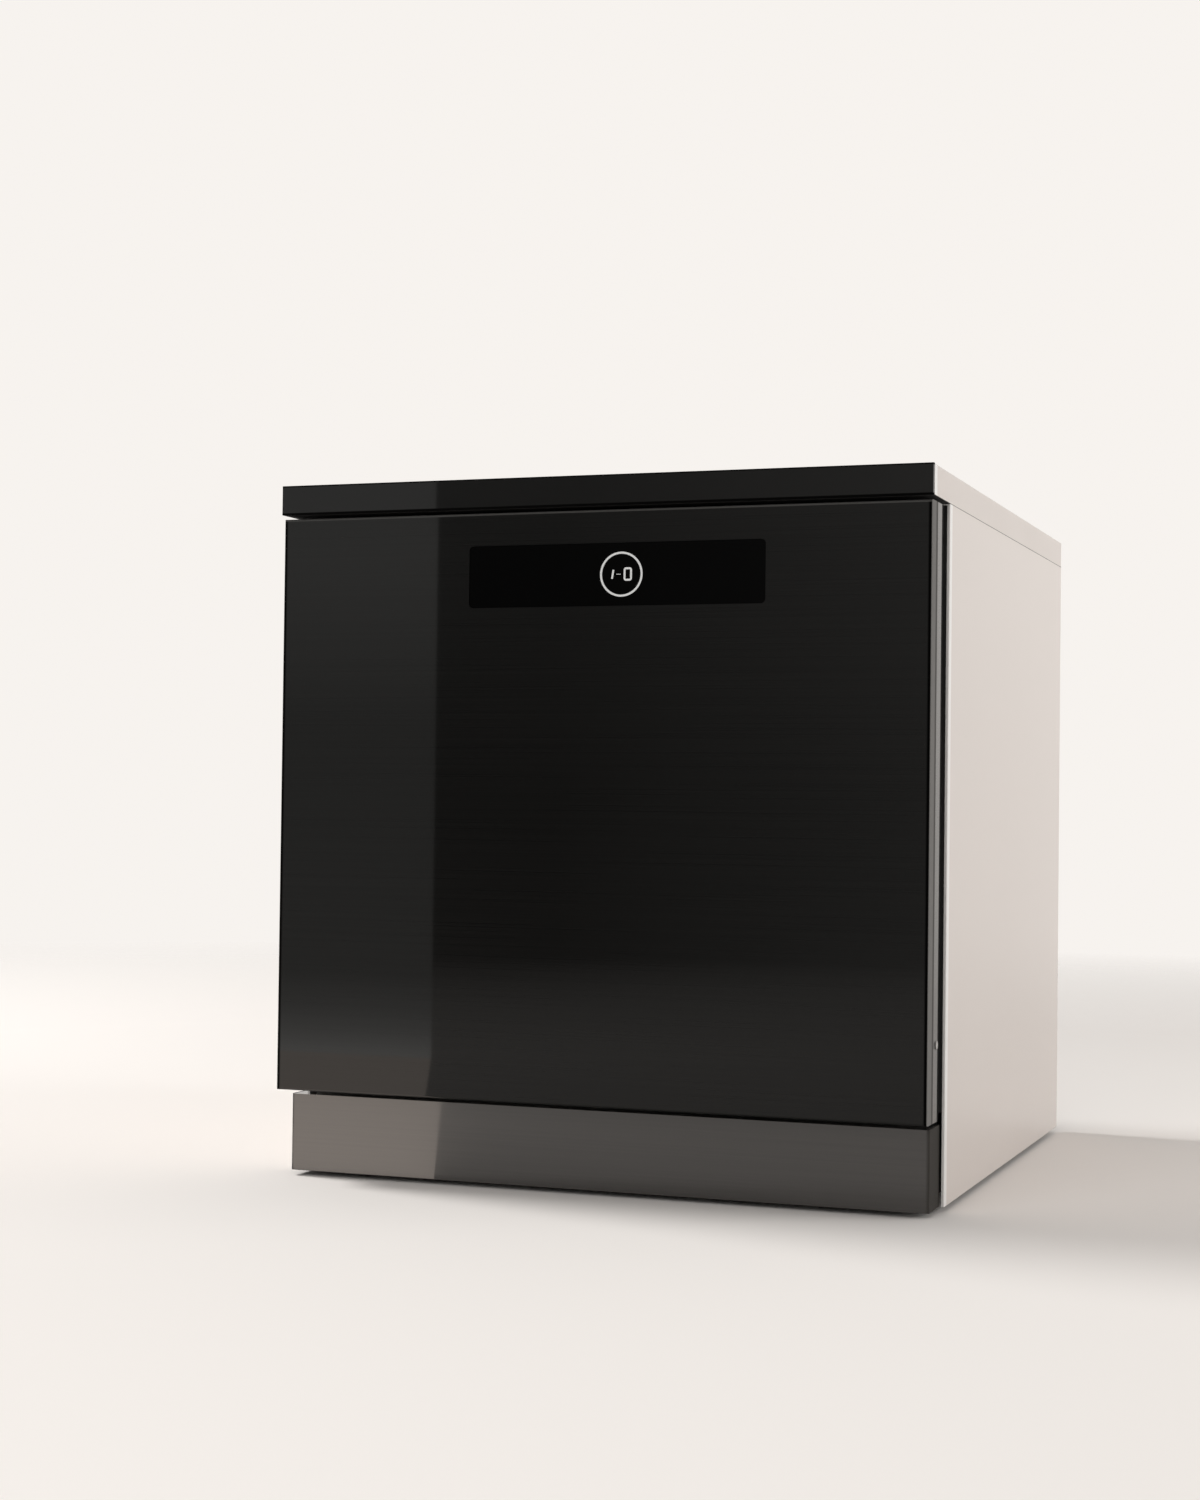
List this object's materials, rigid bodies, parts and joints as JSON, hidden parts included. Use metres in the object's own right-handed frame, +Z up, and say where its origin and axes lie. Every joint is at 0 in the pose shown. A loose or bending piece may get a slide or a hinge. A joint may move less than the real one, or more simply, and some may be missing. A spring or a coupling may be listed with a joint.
{
  "type": "dishwasher",
  "caption": "Compact free-standing dishwasher with a drop-down front door, sliding racks, spinning spray arms and a round touch key in a dark display window.",
  "frame": {"origin": "on the floor under the middle of the machine", "axes": "+Z up, the door faces -Y, +X to the right as seen from the front"},
  "size_m": [0.598, 0.634, 0.625],
  "materials": {
    "grey_enamel": "satin",
    "worktop_grey": "satin",
    "black_edge": "satin",
    "black_steel": "fine horizontal brushing",
    "liner_steel": "satin",
    "tub_steel": "bright",
    "zinc_steel": "zinc plated",
    "black_frame": "matt",
    "plinth_grey": "satin",
    "screw_steel": "bright",
    "spring_steel": "bright",
    "black_rubber": "matt",
    "felt": "felted",
    "window_black": "gloss",
    "ring_white": "translucent",
    "board_green": "matt",
    "black_plastic": "matt",
    "grey_plastic": "matt",
    "white_plastic": "gloss",
    "blue_plastic": "gloss",
    "coated_wire": "nylon coated",
    "heater_steel": "bright"
  },
  "bodies": {
    "cabinet": {"worktop_board": "worktop_grey", "worktop_front_trim": "black_edge", "right_side_panel": "grey_enamel", "left_side_panel": "grey_enamel", "rear_panel": "zinc_steel", "cabinet_screws": "screw_steel", "plinth": "plinth_grey", "front_frame": "black_frame", "base_tray": "black_plastic", "tub": "tub_steel", "door_seal": "black_rubber", "tub_insulation": "felt", "door_springs": "spring_steel", "hinge_brackets": "zinc_steel", "latch_housing": "black_plastic", "sump": "grey_plastic", "filter_plate": "tub_steel", "pump_housing": "black_plastic", "heater": "heater_steel", "riser_duct": "grey_plastic", "water_softener": "white_plastic", "inlet_valve": "white_plastic", "drain_pump": "black_plastic", "drain_outlet": "grey_plastic", "power_inlet": "black_plastic", "upper_rails": "zinc_steel"},
    "door": {"door_outer_panel": "black_steel", "door_inner_panel": "liner_steel", "door_insulation": "felt", "display_window": "window_black", "display_ring": "ring_white", "control_housing": "black_plastic", "control_board": "board_green", "dispenser_housing": "grey_plastic", "hinge_arms": "zinc_steel", "latch_strike": "zinc_steel", "door_screws": "screw_steel"},
    "power_button": {"power_button": "window_black"},
    "detergent_lid": {"detergent_lid": "white_plastic"},
    "rinse_cap": {"rinse_cap": "blue_plastic"},
    "lower_rack": {"lower_rack": "coated_wire", "plate_tines": "coated_wire", "cutlery_basket": "grey_plastic"},
    "upper_rack": {"upper_rack": "coated_wire", "upper_rack_glides": "grey_plastic", "upper_feed_pipe": "grey_plastic"},
    "upper_spray_arm": {"upper_spray_arm": "grey_plastic"},
    "lower_spray_arm": {"lower_spray_arm": "grey_plastic"},
    "fine_filter": {"fine_filter": "grey_plastic"},
    "salt_cap": {"salt_cap": "white_plastic"},
    "pump_impeller": {"pump_impeller": "grey_plastic"},
    "foot_front_left": {"foot_front_left": "black_rubber"},
    "foot_front_right": {"foot_front_right": "black_rubber"},
    "foot_rear_left": {"foot_rear_left": "black_rubber"},
    "foot_rear_right": {"foot_rear_right": "black_rubber"},
    "wheel_front_left": {"wheel_front_left": "grey_plastic"},
    "wheel_front_right": {"wheel_front_right": "grey_plastic"},
    "wheel_rear_left": {"wheel_rear_left": "grey_plastic"},
    "wheel_rear_right": {"wheel_rear_right": "grey_plastic"}
  },
  "joints": [
    {"name": "door_hinge", "type": "hinge", "parent": "cabinet", "child": "door", "pos_m": [0, -0.302, 0.091], "axis": [1, 0, 0], "range_deg": [0, 90], "deforming": ["door_springs"]},
    {"name": "power_button_press", "type": "slide", "parent": "door", "child": "power_button", "axis": [0, 1, 0], "range_m": [0, 0.0012], "stiffness_N_per_m": 600},
    {"name": "detergent_lid_slide", "type": "slide", "parent": "door", "child": "detergent_lid", "axis": [0, 0, 1], "range_m": [0, 0.058]},
    {"name": "rinse_cap_turn", "type": "hinge", "parent": "door", "child": "rinse_cap", "pos_m": [0.044, -0.264, 0.311], "axis": [0, 1, 0], "range_deg": [0, 90]},
    {"name": "lower_rack_slide", "type": "slide", "parent": "cabinet", "child": "lower_rack", "axis": [0, -1, 0], "range_m": [0, 0.1505]},
    {"name": "upper_rack_slide", "type": "slide", "parent": "cabinet", "child": "upper_rack", "axis": [0, -1, 0], "range_m": [0, 0.381]},
    {"name": "upper_arm_spin", "type": "hinge", "parent": "upper_rack", "child": "upper_spray_arm", "pos_m": [0, 0.015, 0.4106], "axis": [0, 0, 1], "continuous": true},
    {"name": "lower_arm_spin", "type": "hinge", "parent": "cabinet", "child": "lower_spray_arm", "pos_m": [0, 0.015, 0.1333], "axis": [0, 0, 1], "continuous": true},
    {"name": "filter_turn", "type": "hinge", "parent": "cabinet", "child": "fine_filter", "pos_m": [0, -0.062, 0.1123], "axis": [0, 0, 1], "range_deg": [0, 90]},
    {"name": "salt_cap_turn", "type": "hinge", "parent": "cabinet", "child": "salt_cap", "pos_m": [-0.16, -0.14, 0.1123], "axis": [0, 0, 1], "range_deg": [0, 120]},
    {"name": "impeller_spin", "type": "hinge", "parent": "cabinet", "child": "pump_impeller", "pos_m": [0.045, 0.105, 0.062], "axis": [0, 1, 0], "continuous": true},
    {"name": "wheel_front_left_roll", "type": "hinge", "parent": "lower_rack", "child": "wheel_front_left", "pos_m": [-0.255, -0.146, 0.1406], "axis": [1, 0, 0], "range_deg": [0, 508]},
    {"name": "wheel_front_right_roll", "type": "hinge", "parent": "lower_rack", "child": "wheel_front_right", "pos_m": [0.255, -0.146, 0.1406], "axis": [1, 0, 0], "range_deg": [0, 508]},
    {"name": "wheel_rear_left_roll", "type": "hinge", "parent": "lower_rack", "child": "wheel_rear_left", "pos_m": [-0.255, 0.144, 0.1406], "axis": [1, 0, 0], "range_deg": [0, 508]},
    {"name": "wheel_rear_right_roll", "type": "hinge", "parent": "lower_rack", "child": "wheel_rear_right", "pos_m": [0.255, 0.144, 0.1406], "axis": [1, 0, 0], "range_deg": [0, 508]},
    {"name": "foot_front_left_adjust", "type": "slide", "parent": "cabinet", "child": "foot_front_left", "axis": [0, 0, -1], "range_m": [0, 0.02]},
    {"name": "foot_front_right_adjust", "type": "slide", "parent": "cabinet", "child": "foot_front_right", "axis": [0, 0, -1], "range_m": [0, 0.02]},
    {"name": "foot_rear_left_adjust", "type": "slide", "parent": "cabinet", "child": "foot_rear_left", "axis": [0, 0, -1], "range_m": [0, 0.02]},
    {"name": "foot_rear_right_adjust", "type": "slide", "parent": "cabinet", "child": "foot_rear_right", "axis": [0, 0, -1], "range_m": [0, 0.02]}
  ],
  "couplings": [
    {"joint": "lower_rack_slide", "follows": "door_hinge", "m_per_rad": 0.0955},
    {"joint": "upper_rack_slide", "follows": "door_hinge", "m_per_rad": 0.242},
    {"joint": "wheel_front_left_roll", "follows": "door_hinge", "ratio": 5.6176},
    {"joint": "wheel_front_right_roll", "follows": "door_hinge", "ratio": 5.6176},
    {"joint": "wheel_rear_left_roll", "follows": "door_hinge", "ratio": 5.6176},
    {"joint": "wheel_rear_right_roll", "follows": "door_hinge", "ratio": 5.6176}
  ]
}
